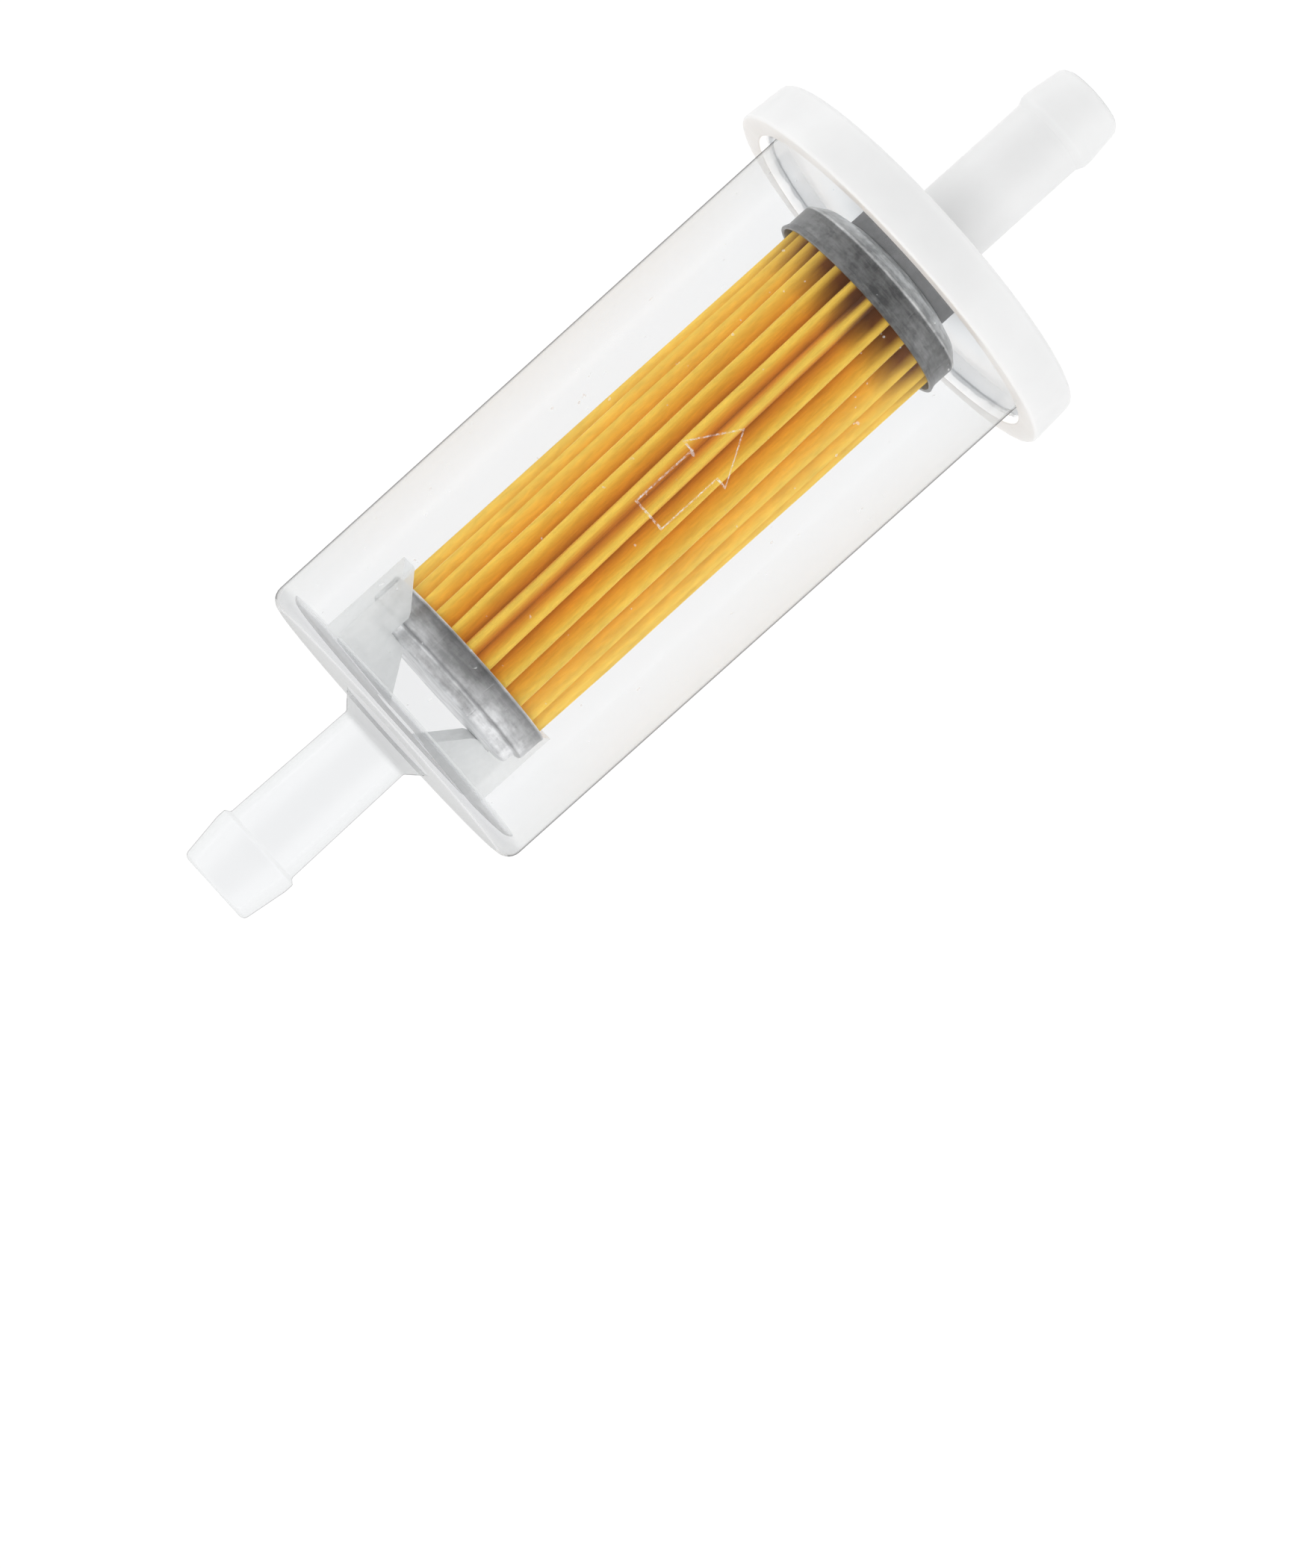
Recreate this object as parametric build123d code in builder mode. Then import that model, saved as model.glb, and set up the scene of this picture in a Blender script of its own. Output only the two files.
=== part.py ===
from build123d import *
from math import cos, degrees, radians, sin
import os

os.makedirs("parts", exist_ok=True)

# In-line fuel filter for a small engine. Every size is in millimetres.
# The flow axis is X: fuel enters the hose nipple at -X and leaves by the one at +X.
# The origin is on the flow axis, halfway between the two hose ends. +Z is the side of the flow arrow.
# A station is a distance along the flow axis from the inlet tip.

overall_length = 110.0

# Fuel passage: each nipple is bored from its tip, and narrows to a throat where it meets the chamber
nipple_bore_radius = 3.0
throat_radius = 2.7

# Inlet nipple
inlet_tip_radius = 4.02
inlet_tip_round = 0.6
inlet_barb_radius = 4.68
inlet_land_start = 4.65
inlet_land_end = 5.55
inlet_neck_start = 5.95
inlet_neck_radius = 4.16
inlet_root_station = 20.0
inlet_root_radius = 3.95
inlet_cone_station = 21.2
inlet_cone_radius = 5.2
inlet_foot_radius = 5.6
inlet_bore_depth = inlet_cone_station

# Housing
face_station = 21.6
end_plate = 1.6
wall = 1.4
closed_radius = 16.45
open_radius = 16.75
outer_corner = 1.5
inner_corner = 0.8
rim_station = 85.25
rim_thickness = 1.6
floor_station = face_station + end_plate
mouth_station = rim_station + rim_thickness

# Fins that hold the lower end cap, and the flow arrow
fin_count = 2
fin_first_angle = 43.0
fin_thickness = 1.8
fin_tip_station = 33.2
fin_shoulder_station = 29.6
fin_seat_depth = 1.5
fin_foot_radius = 3.4
fin_clearance = 0.15
arrow_angle = -4.1
arrow_height = 0.3
arrow_tail_station = 51.5
arrow_length = 11.3
arrow_head_length = 4.5
arrow_head_width = 5.3
arrow_shaft_width = 3.2

# Outlet cap
flange_station = 84.25
flange_end_station = 89.3
flange_radius = 20.25
flange_end_radius = 19.9
flange_front_round = 0.3
flange_back_round = 0.7
socket_radius = 17.7
seal_pocket_depth = 0.5
spigot_station = 83.7
spigot_radius = 3.9
outlet_neck_radius = 4.01
outlet_neck_end = 104.4
outlet_barb_radius = 4.37
outlet_land_start = 105.1
outlet_land_end = 106.1
outlet_tip_radius = 3.84
outlet_tip_round = 0.9
outlet_bore_depth = overall_length - flange_end_station

# Weld bead in the corner between the rim and the socket
bead_width = 0.8
bead_height = 0.4

# Element
metal = 0.4
lower_cap_station = 27.5
lower_step_station = 28.85
lower_cap_end_station = 31.8
lower_step_radius = 9.3
lower_cap_radius = 10.2
upper_cap_station = 80.2
upper_lip_radius = 10.35
upper_band_station = 80.9
upper_band_radius = 10.1
upper_shoulder_station = 83.25
upper_mid_station = 84.3
upper_mid_radius = 8.8
upper_top_station = 84.95
upper_top_radius = 6.7
upper_hole_radius = 4.0
lower_bond_station = 30.1
upper_bond_station = 81.9
seal_radius = 6.33
seal_edge = 0.2

# Paper and what supports it
pleat_count = 24
pleat_radius = 9.56
pleat_root_radius = 5.2
paper = 0.4
ridge_wall = 0.64
ridge_half_width = 0.42
core_radius = 5.0
core_wall = 0.4
core_hole_radius = 0.9
core_hole_pitch = 5.0
core_hole_rows = 4
clip_metal = 0.25
clip_clearance = 0.18
clip_depth = 1.6
clip_length = 44.0

# How far a cutting shape runs past what it cuts
margin = 1.0


def at(station):
    """X of a station."""
    return station - overall_length / 2


def radial_plane(angle):
    """Plane through the flow axis: its x runs along the flow, its y points outwards.

    The angle is measured about the flow axis, from +Z towards +Y.
    """
    turn = radians(angle)
    return Plane(origin=(0, 0, 0), x_dir=(1, 0, 0), z_dir=(0, -cos(turn), sin(turn)))


def profile(*points):
    """Closed outline from (station, distance from the axis) corners."""
    return Polyline(*[(at(station), distance) for station, distance in points], close=True)


def round_corner(station, distance, radius):
    """Round the outline's corner that is nearest to a station and a distance from the axis."""
    corner = vertices().sort_by_distance((at(station), distance, 0))[0]
    fillet(corner, radius)


def finish(piece, name):
    """Label a piece and write it to its own file."""
    piece.part.label = name
    export_step(piece.part, f"parts/{name}.step")


# ---------------------------------------------------------------- Flow arrow, moulded with the housing
arrow_mid_radius = (closed_radius + open_radius) / 2
arrow_neck_station = arrow_tail_station + arrow_length - arrow_head_length

with BuildPart() as flow_arrow:
    arrow_plane = Plane.XY.rotated((-arrow_angle, 0, 0)).offset(arrow_mid_radius - wall / 2)
    with BuildSketch(arrow_plane):
        with BuildLine():
            Polyline(
                (at(arrow_tail_station), -arrow_shaft_width / 2),
                (at(arrow_neck_station), -arrow_shaft_width / 2),
                (at(arrow_neck_station), -arrow_head_width / 2),
                (at(arrow_tail_station + arrow_length), 0),
                (at(arrow_neck_station), arrow_head_width / 2),
                (at(arrow_neck_station), arrow_shaft_width / 2),
                (at(arrow_tail_station), arrow_shaft_width / 2),
                close=True,
            )
        make_face()
    extrude(amount=wall)
    with BuildSketch(Plane.YZ.offset(at(arrow_tail_station - margin))):
        Circle(arrow_mid_radius + arrow_height)
    extrude(amount=arrow_length + 2 * margin, mode=Mode.INTERSECT)


# ---------------------------------------------------------------- Housing
with BuildPart() as housing_body:
    with BuildSketch(Plane.XZ):
        with BuildLine():
            profile(
                (0, nipple_bore_radius),
                (0, inlet_tip_radius),
                (inlet_land_start, inlet_barb_radius),
                (inlet_land_end, inlet_barb_radius),
                (inlet_neck_start, inlet_neck_radius),
                (inlet_root_station, inlet_root_radius),
                (inlet_cone_station, inlet_cone_radius),
                (face_station, inlet_foot_radius),
                (face_station, closed_radius),
                (rim_station, open_radius),
                (rim_station, socket_radius),
                (mouth_station, socket_radius),
                (mouth_station, open_radius - wall),
                (floor_station, closed_radius - wall),
                (floor_station, throat_radius),
                (inlet_bore_depth, throat_radius),
                (inlet_bore_depth, nipple_bore_radius),
            )
        make_face()
        round_corner(0, inlet_tip_radius, inlet_tip_round)
        round_corner(face_station, closed_radius, outer_corner)
        round_corner(floor_station, closed_radius - wall, inner_corner)
    revolve(axis=Axis.X)
    for fin in range(fin_count):
        with BuildSketch(radial_plane(fin_first_angle + fin * 360 / fin_count)):
            with BuildLine():
                profile(
                    (face_station + end_plate / 2, fin_foot_radius),
                    (floor_station, fin_foot_radius),
                    (lower_cap_station, lower_step_radius - fin_seat_depth),
                    (lower_cap_station, lower_cap_radius + fin_clearance),
                    (fin_shoulder_station, lower_cap_radius + fin_clearance),
                    (fin_tip_station, closed_radius - wall / 2),
                    (face_station + end_plate / 2, closed_radius - wall / 2),
                )
            make_face()
        extrude(amount=fin_thickness / 2, both=True)
    add(flow_arrow.part)
finish(housing_body, "housing_body")


# ---------------------------------------------------------------- Outlet cap
with BuildPart() as outlet_cap:
    with BuildSketch(Plane.XZ):
        with BuildLine():
            profile(
                (spigot_station, throat_radius),
                (spigot_station, spigot_radius),
                (mouth_station + seal_pocket_depth, spigot_radius),
                (mouth_station + seal_pocket_depth, seal_radius),
                (mouth_station, seal_radius),
                (mouth_station, socket_radius),
                (flange_station, socket_radius),
                (flange_station, flange_radius),
                (flange_end_station, flange_end_radius),
                (flange_end_station, outlet_neck_radius),
                (outlet_neck_end, outlet_neck_radius),
                (outlet_land_start, outlet_barb_radius),
                (outlet_land_end, outlet_barb_radius),
                (overall_length, outlet_tip_radius),
                (overall_length, nipple_bore_radius),
                (overall_length - outlet_bore_depth, nipple_bore_radius),
                (overall_length - outlet_bore_depth, throat_radius),
            )
        make_face()
        round_corner(flange_station, flange_radius, flange_front_round)
        round_corner(flange_end_station, flange_end_radius, flange_back_round)
        round_corner(overall_length, outlet_tip_radius, outlet_tip_round)
    revolve(axis=Axis.X)
finish(outlet_cap, "outlet_cap")


# ---------------------------------------------------------------- Weld bead
with BuildPart() as weld_bead:
    with BuildSketch(Plane.XZ):
        with BuildLine():
            profile(
                (rim_station, socket_radius),
                (rim_station - bead_height, socket_radius),
                (rim_station - bead_height, socket_radius - bead_width / 2),
                (rim_station, socket_radius - bead_width),
            )
        make_face()
    revolve(axis=Axis.X)
finish(weld_bead, "weld_bead")


# ---------------------------------------------------------------- Lower end cap and its bonding compound
with BuildPart() as lower_end_cap:
    with BuildSketch(Plane.XZ):
        with BuildLine():
            profile(
                (lower_cap_station, 0),
                (lower_cap_station, lower_step_radius),
                (lower_step_station, lower_step_radius),
                (lower_step_station, lower_cap_radius),
                (lower_cap_end_station, lower_cap_radius),
                (lower_cap_end_station, lower_cap_radius - metal),
                (lower_step_station + metal, lower_cap_radius - metal),
                (lower_step_station + metal, lower_step_radius - metal),
                (lower_cap_station + metal, lower_step_radius - metal),
                (lower_cap_station + metal, 0),
            )
        make_face()
        round_corner(lower_cap_station, lower_step_radius, metal)
        round_corner(lower_step_station, lower_cap_radius, metal)
    revolve(axis=Axis.X)
finish(lower_end_cap, "lower_end_cap")

with BuildPart() as lower_potting:
    with BuildSketch(Plane.XZ):
        with BuildLine():
            profile(
                (lower_cap_station + metal, 0),
                (lower_cap_station + metal, lower_step_radius - metal),
                (lower_step_station + metal, lower_step_radius - metal),
                (lower_step_station + metal, lower_cap_radius - metal),
                (lower_bond_station, lower_cap_radius - metal),
                (lower_bond_station, 0),
            )
        make_face()
    revolve(axis=Axis.X)
finish(lower_potting, "lower_potting")


# ---------------------------------------------------------------- Upper end cap and its bonding compound
with BuildPart() as upper_end_cap:
    with BuildSketch(Plane.XZ):
        with BuildLine():
            Polyline(
                (at(upper_shoulder_station), upper_band_radius),
                (at(upper_band_station), upper_band_radius),
                (at(upper_cap_station), upper_lip_radius),
                (at(upper_cap_station), upper_lip_radius - metal),
                (at(upper_band_station), upper_band_radius - metal),
                (at(upper_shoulder_station), upper_band_radius - metal),
            )
            ThreePointArc(
                (at(upper_shoulder_station), upper_band_radius - metal),
                (at(upper_mid_station) - metal, upper_mid_radius - metal / 2),
                (at(upper_top_station) - metal, upper_top_radius),
            )
            Polyline(
                (at(upper_top_station) - metal, upper_top_radius),
                (at(upper_top_station) - metal, upper_hole_radius),
                (at(upper_top_station), upper_hole_radius),
                (at(upper_top_station), upper_top_radius),
            )
            ThreePointArc(
                (at(upper_top_station), upper_top_radius),
                (at(upper_mid_station), upper_mid_radius),
                (at(upper_shoulder_station), upper_band_radius),
            )
        make_face()
    revolve(axis=Axis.X)
finish(upper_end_cap, "upper_end_cap")

with BuildPart() as upper_potting:
    with BuildSketch(Plane.XZ):
        with BuildLine():
            Polyline(
                (at(upper_shoulder_station), upper_band_radius - metal),
                (at(upper_bond_station), upper_band_radius - metal),
                (at(upper_bond_station), core_radius - core_wall),
                (at(upper_top_station) - metal, core_radius - core_wall),
                (at(upper_top_station) - metal, upper_top_radius),
            )
            ThreePointArc(
                (at(upper_top_station) - metal, upper_top_radius),
                (at(upper_mid_station) - metal, upper_mid_radius - metal / 2),
                (at(upper_shoulder_station), upper_band_radius - metal),
            )
        make_face()
    revolve(axis=Axis.X)
finish(upper_potting, "upper_potting")


# ---------------------------------------------------------------- Seal ring
with BuildPart() as outlet_seal:
    with BuildSketch(Plane.XZ):
        with BuildLine():
            profile(
                (upper_top_station, spigot_radius),
                (upper_top_station, seal_radius),
                (mouth_station + seal_pocket_depth, seal_radius),
                (mouth_station + seal_pocket_depth, spigot_radius),
            )
        make_face()
        corner = vertices().sort_by_distance((at(upper_top_station), seal_radius, 0))[0]
        chamfer(corner, seal_edge)
    revolve(axis=Axis.X)
finish(outlet_seal, "outlet_seal")


# ---------------------------------------------------------------- Pleated paper
paper_length = upper_bond_station - lower_bond_station
pitch = 360 / pleat_count


def polar(radius, angle):
    """Point of the cross-section in the YZ plane: angle from +Z towards -Y."""
    turn = radians(90 + angle)
    return (radius * cos(turn), radius * sin(turn))


def ridge_turn(radius, half_width):
    """Angle that a half width takes up at a radius."""
    return degrees(half_width / radius)


outer_fold = []
inner_fold = []
for pleat in range(pleat_count):
    centre = pleat * pitch
    ridge = ridge_turn(pleat_radius, ridge_half_width)
    root = ridge_turn(pleat_root_radius, ridge_half_width)
    outer_fold.append(polar(pleat_radius, centre - ridge))
    outer_fold.append(polar(pleat_radius, centre + ridge))
    outer_fold.append(polar(pleat_root_radius + paper, centre + pitch / 2))
    inner_fold.append(polar(pleat_radius - ridge_wall, centre))
    inner_fold.append(polar(pleat_root_radius, centre + pitch / 2 - root))
    inner_fold.append(polar(pleat_root_radius, centre + pitch / 2 + root))

with BuildPart() as pleated_paper:
    with BuildSketch(Plane.YZ.offset(at(lower_bond_station))):
        with BuildLine():
            Polyline(*outer_fold, close=True)
        make_face()
        with BuildLine():
            Polyline(*inner_fold, close=True)
        make_face(mode=Mode.SUBTRACT)
    extrude(amount=paper_length)
finish(pleated_paper, "pleated_paper")


# ---------------------------------------------------------------- Clip over the paper's two joined ends
clip_outer = pleat_radius + clip_clearance + clip_metal
clip_half_width = ridge_half_width + clip_clearance + clip_metal

with BuildPart() as seam_clip:
    with BuildSketch(Plane.YZ.offset(at((lower_bond_station + upper_bond_station - clip_length) / 2))):
        with BuildLine():
            Polyline(
                (-clip_half_width, clip_depth - clip_outer),
                (-clip_half_width, -clip_outer),
                (clip_half_width, -clip_outer),
                (clip_half_width, clip_depth - clip_outer),
                (clip_half_width - clip_metal, clip_depth - clip_outer),
                (clip_half_width - clip_metal, clip_metal - clip_outer),
                (clip_metal - clip_half_width, clip_metal - clip_outer),
                (clip_metal - clip_half_width, clip_depth - clip_outer),
                close=True,
            )
        make_face()
    extrude(amount=clip_length)
finish(seam_clip, "seam_clip")


# ---------------------------------------------------------------- Perforated centre tube
core_hole_count = int(paper_length / core_hole_pitch) - 1

with BuildPart() as core_tube:
    with BuildSketch(Plane.YZ.offset(at(lower_bond_station))):
        Circle(core_radius)
        Circle(core_radius - core_wall, mode=Mode.SUBTRACT)
    extrude(amount=paper_length)
    for row in range(core_hole_rows):
        stagger = core_hole_pitch / 2 * (row % 2)
        middle = at((lower_bond_station + upper_bond_station) / 2) + stagger
        with BuildSketch(radial_plane(row * 180 / core_hole_rows)):
            with Locations((middle, 0)):
                with GridLocations(core_hole_pitch, 0, core_hole_count, 1):
                    Circle(core_hole_radius)
        extrude(amount=core_radius + margin, both=True, mode=Mode.SUBTRACT)
finish(core_tube, "core_tube")
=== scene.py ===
import math

import bmesh
import bpy
from mathutils import Matrix, Vector, noise


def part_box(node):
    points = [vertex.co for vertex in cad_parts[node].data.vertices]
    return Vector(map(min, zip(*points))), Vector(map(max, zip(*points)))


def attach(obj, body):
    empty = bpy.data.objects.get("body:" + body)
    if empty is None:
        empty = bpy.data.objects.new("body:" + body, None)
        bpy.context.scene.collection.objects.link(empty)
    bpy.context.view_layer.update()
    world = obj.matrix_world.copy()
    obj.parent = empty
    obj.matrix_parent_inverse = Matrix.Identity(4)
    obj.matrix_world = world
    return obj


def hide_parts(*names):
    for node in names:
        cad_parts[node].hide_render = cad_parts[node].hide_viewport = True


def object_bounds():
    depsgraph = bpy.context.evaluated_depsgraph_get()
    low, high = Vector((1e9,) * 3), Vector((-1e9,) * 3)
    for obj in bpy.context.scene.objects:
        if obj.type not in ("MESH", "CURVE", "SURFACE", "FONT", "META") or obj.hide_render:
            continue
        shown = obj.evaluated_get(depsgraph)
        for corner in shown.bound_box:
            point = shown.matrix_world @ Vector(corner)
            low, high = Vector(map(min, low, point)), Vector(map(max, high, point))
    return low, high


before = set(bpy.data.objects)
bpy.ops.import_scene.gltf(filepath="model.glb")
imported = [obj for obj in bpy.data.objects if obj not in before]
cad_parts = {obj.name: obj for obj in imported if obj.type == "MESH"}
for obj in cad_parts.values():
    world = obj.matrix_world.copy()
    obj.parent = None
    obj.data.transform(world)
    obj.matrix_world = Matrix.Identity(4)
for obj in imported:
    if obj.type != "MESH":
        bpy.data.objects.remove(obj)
cad_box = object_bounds()

# An in-line fuel filter. The flow axis is X, the inlet nipple is at -X and the flow arrow is on the +Z side.
# Lengths are in millimetres, and MM turns them into metres. Stations are X values in the frame, and a radius
# is a distance from the flow axis. A profile's corners are (station, radius, rounding).
MM = 0.001
ROOT = "root"


# ---------------------------------------------------------------- Places, from the frame
def low_high(node):
    """A node's lowest and highest corner in millimetres."""
    low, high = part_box(node)
    return [value / MM for value in low], [value / MM for value in high]


housing_low, housing_high = low_high("housing_body")
cap_low, cap_high = low_high("outlet_cap")
bead_high = low_high("weld_bead")[1]
paper_low, paper_high = low_high("pleated_paper")
lower_low, lower_high = low_high("lower_end_cap")
upper_low, upper_high = low_high("upper_end_cap")
seal_low, seal_high = low_high("outlet_seal")

inlet_tip = housing_low[0]
mouth = housing_high[0]
socket_radius = housing_high[2]
outlet_tip = cap_high[0]
spigot_start = cap_low[0]
rim_start = bead_high[0]


# ---------------------------------------------------------------- Mesh helpers
SEGMENTS = 224
SHARP = math.radians(32)


def clamp(value, low, high):
    """Value kept between two limits."""
    return max(low, min(high, value))


def add_object(name, data):
    """Object in the scene that holds a mesh, a light or a camera."""
    made = bpy.data.objects.new(name, data)
    bpy.context.scene.collection.objects.link(made)
    return made


def arc_corner(before, corner, after, radius, steps=7):
    """Points of a round corner of an outline."""
    a = (Vector(before) - Vector(corner)).normalized()
    b = (Vector(after) - Vector(corner)).normalized()
    half = a.angle(b) / 2
    reach = radius / math.tan(half)
    centre = Vector(corner) + (a + b).normalized() * radius / math.sin(half)
    start = Vector(corner) + a * reach - centre
    end = Vector(corner) + b * reach - centre
    turn = start.angle(end)
    points = []
    for step in range(steps + 1):
        t = step / steps
        blend = start * math.sin((1 - t) * turn) + end * math.sin(t * turn)
        points.append(tuple(centre + blend / math.sin(turn)))
    return points


def outline(corners, run=4.0):
    """Closed outline from (station, radius, rounding) corners, with long runs divided."""
    points = []
    count = len(corners)
    for index, (station, radius, rounding) in enumerate(corners):
        if rounding:
            before = corners[index - 1][:2]
            after = corners[(index + 1) % count][:2]
            points.extend(arc_corner(before, (station, radius), after, rounding))
        else:
            points.append((station, radius))
    divided = []
    for index, point in enumerate(points):
        following = Vector(points[(index + 1) % len(points)])
        length = (following - Vector(point)).length
        parts = max(1, round(length / run))
        for part in range(parts):
            divided.append(tuple(Vector(point).lerp(following, part / parts)))
    return divided


def mesh_object(name, vertices, faces, sharp=SHARP):
    """Object with a smooth-shaded mesh, from millimetre vertices."""
    mesh = bpy.data.meshes.new(name)
    mesh.from_pydata([[value * MM for value in vertex] for vertex in vertices], [], faces)
    mesh.validate()
    mesh.shade_smooth()
    mesh.set_sharp_from_angle(angle=sharp)
    return add_object(name, mesh)


def lathe(name, profile, segments=SEGMENTS, shape=None):
    """Piece turned about the flow axis. shape(station, radius, angle) may move each point.

    The angle runs from +Z towards +Y. A profile point on the axis becomes one vertex.
    """
    vertices = []
    rings = []
    for station, radius in profile:
        ring = []
        if radius < 1e-6:
            ring = [len(vertices)] * segments
            vertices.append((station, 0, 0))
        else:
            for step in range(segments):
                angle = 2 * math.pi * step / segments
                x, r = shape(station, radius, angle) if shape else (station, radius)
                ring.append(len(vertices))
                vertices.append((x, r * math.sin(angle), r * math.cos(angle)))
        rings.append(ring)
    faces = []
    for index, ring in enumerate(rings):
        following = rings[(index + 1) % len(rings)]
        for step in range(segments):
            other = (step + 1) % segments
            corners = [ring[step], following[step], following[other], ring[other]]
            face = [corner for place, corner in enumerate(corners) if corner not in corners[:place]]
            if len(face) > 2:
                faces.append(face)
    return mesh_object(name, vertices, faces)


def join_solids(piece, others):
    """Fuse solids into a piece, so that it has one skin."""
    for other in others:
        joint = piece.modifiers.new("join", "BOOLEAN")
        joint.operation = "UNION"
        joint.solver = "EXACT"
        joint.object = other
    fused = bpy.data.meshes.new_from_object(piece.evaluated_get(bpy.context.evaluated_depsgraph_get()))
    piece.modifiers.clear()
    piece.data = fused
    for other in others:
        bpy.data.objects.remove(other)
    fused.shade_smooth()
    fused.set_sharp_from_angle(angle=SHARP)


# ---------------------------------------------------------------- Housing
HOUSING_FACE = inlet_tip + 21.6
HOUSING_FLOOR = HOUSING_FACE + 1.6
CLOSED_RADIUS = 16.45
OPEN_RADIUS = 16.75
MEAN_RADIUS = (CLOSED_RADIUS + OPEN_RADIUS) / 2
WALL = 1.4
THROAT = 2.7
NIPPLE_BORE = 3.0
FIN_ANGLES = (43, 223)


def fin_solid(angle):
    """Plate that holds the lower end cap: it runs in from the wall, at an angle from +Z towards +Y."""
    half_thickness = 0.9
    foot = HOUSING_FLOOR - 0.7
    foot_radius = 3.4
    wall_radius = CLOSED_RADIUS - WALL / 2
    seat = lower_low[0]
    guide_radius = lower_high[2] + 0.15
    points = [
        (foot, foot_radius),
        (HOUSING_FLOOR, foot_radius),
        (seat - 0.3, 7.5),
        (seat, 8.1),
        (seat, guide_radius),
        (seat + 2.1, guide_radius),
        (seat + 2.6, guide_radius + 0.45),
        (seat + 5.3, CLOSED_RADIUS - WALL - 0.4),
        (seat + 5.7, wall_radius),
        (foot, wall_radius),
    ]
    out = Vector((0, math.sin(angle), math.cos(angle)))
    side = Vector((0, math.cos(angle), -math.sin(angle)))
    vertices = []
    for offset in (-half_thickness, half_thickness):
        for station, radius in points:
            vertices.append(tuple(Vector((station, 0, 0)) + out * radius + side * offset))
    count = len(points)
    faces = [list(range(count)), list(range(2 * count - 1, count - 1, -1))]
    for index in range(count):
        other = (index + 1) % count
        faces.append([other, index, index + count, other + count])
    return mesh_object("fin", vertices, faces)


def arrow_solid():
    """Raised flow arrow with sloping edges, wrapped round the wall it stands on."""
    tail = inlet_tip + 51.5
    neck = tail + 6.8
    tip = tail + 11.3
    shaft = 1.6
    head = 2.65
    height = 0.28
    sunk = 0.5
    spread = 0.2
    lean = math.radians(-4.1)
    slope = math.atan2(head, tip - neck)

    def arrow_outline(grow):
        """Outline in the flat, moved outwards by grow."""
        wing = head + grow * (math.tan(slope) + 1 / math.cos(slope))
        half = [(tail - grow, shaft + grow), (neck - grow, shaft + grow), (neck - grow, wing)]
        point = (tip + grow / math.sin(slope), 0.0)
        return [(x, -y) for x, y in half] + [point] + half[::-1]

    layers = [(-sunk, spread), (0.0, spread), (height, 0.0)]
    solid = bmesh.new()
    rings = [[solid.verts.new((x, y, level)) for x, y in arrow_outline(grow)] for level, grow in layers]
    solid.faces.new(rings[0][::-1])
    solid.faces.new(rings[-1])
    count = len(rings[0])
    for lower, upper in zip(rings, rings[1:]):
        for index in range(count):
            other = (index + 1) % count
            solid.faces.new([lower[index], lower[other], upper[other], upper[index]])

    slices = 12
    half_width = head + 0.6
    for cut in range(1, slices):
        across = (2 * cut / slices - 1) * half_width
        parts = solid.verts[:] + solid.edges[:] + solid.faces[:]
        bmesh.ops.bisect_plane(solid, geom=parts, plane_co=(0, across, 0), plane_no=(0, 1, 0))
    for vertex in solid.verts:
        radius = MEAN_RADIUS + vertex.co.z
        angle = lean + vertex.co.y / MEAN_RADIUS
        vertex.co = Vector((vertex.co.x, radius * math.sin(angle), radius * math.cos(angle))) * MM
    bmesh.ops.recalc_face_normals(solid, faces=solid.faces[:])
    mesh = bpy.data.meshes.new("arrow")
    solid.to_mesh(mesh)
    solid.free()
    return add_object("arrow", mesh)


def make_housing():
    """Cup with the inlet nipple on its closed end, fused with its fins and its flow arrow."""
    tip_radius = 4.02
    barb_radius = 4.68
    neck_radius = 3.95
    cone_radius = 5.2
    barb_start = inlet_tip + 4.65
    barb_end = inlet_tip + 5.55
    neck_end = inlet_tip + 20.0
    throat_start = inlet_tip + 21.2
    rim_radius = socket_radius - 0.05
    housing = lathe("clear_housing", outline([
        (inlet_tip, NIPPLE_BORE, 0.3),
        (inlet_tip, tip_radius, 0.65),
        (barb_start, barb_radius, 0.6),
        (barb_end, barb_radius, 0.25),
        (barb_end + 0.4, neck_radius + 0.21, 0.3),
        (neck_end, neck_radius, 0.4),
        (throat_start, cone_radius, 0.4),
        (HOUSING_FACE, cone_radius + 0.4, 0.15),
        (HOUSING_FACE, CLOSED_RADIUS, 1.5),
        (rim_start, OPEN_RADIUS, 0.2),
        (rim_start, rim_radius, 0.15),
        (mouth, rim_radius, 0),
        (mouth, OPEN_RADIUS - WALL, 0.2),
        (HOUSING_FLOOR, CLOSED_RADIUS - WALL, 0.9),
        (HOUSING_FLOOR, THROAT, 0.4),
        (throat_start, THROAT, 0),
        (throat_start, NIPPLE_BORE, 0),
    ]))
    fins = [fin_solid(math.radians(angle)) for angle in FIN_ANGLES]
    join_solids(housing, fins + [arrow_solid()])
    return housing


# ---------------------------------------------------------------- Outlet cap, weld bead and seal
FLANGE_FACE = inlet_tip + 84.25
FLANGE_RADIUS = 20.25
SPIGOT_RADIUS = 3.9


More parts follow.
